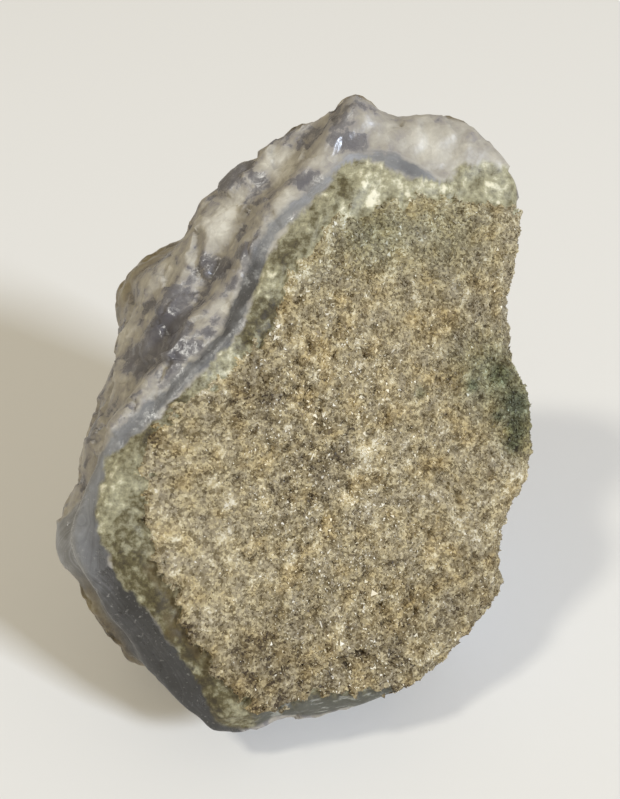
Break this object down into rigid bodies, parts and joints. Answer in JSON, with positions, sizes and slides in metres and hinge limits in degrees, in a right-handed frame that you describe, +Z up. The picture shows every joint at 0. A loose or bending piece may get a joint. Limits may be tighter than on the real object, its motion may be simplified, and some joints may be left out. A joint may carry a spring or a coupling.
{
  "type": "rough blue lace agate specimen",
  "caption": "Broken piece of banded blue lace agate with a granular host-rock face and a budded back, resting upright on a small flat spot.",
  "frame": {"origin": "on the ground, under the middle of the stone's bounding box", "axes": "+Z up as it rests; -Y towards the granular crust face, which leans back and looks up at the viewer; +X to the right"},
  "size_m": [0.073, 0.0684, 0.0841],
  "materials": {
    "agate_and_matrix": "broken natural stone: a matt granular host-rock crust on one face, waxy translucent blue-grey chalcedony on the broken flanks, iron-stained rounded buds behind"
  },
  "bodies": {
    "root": {"agate_stone": "agate_and_matrix"}
  },
  "joints": []
}
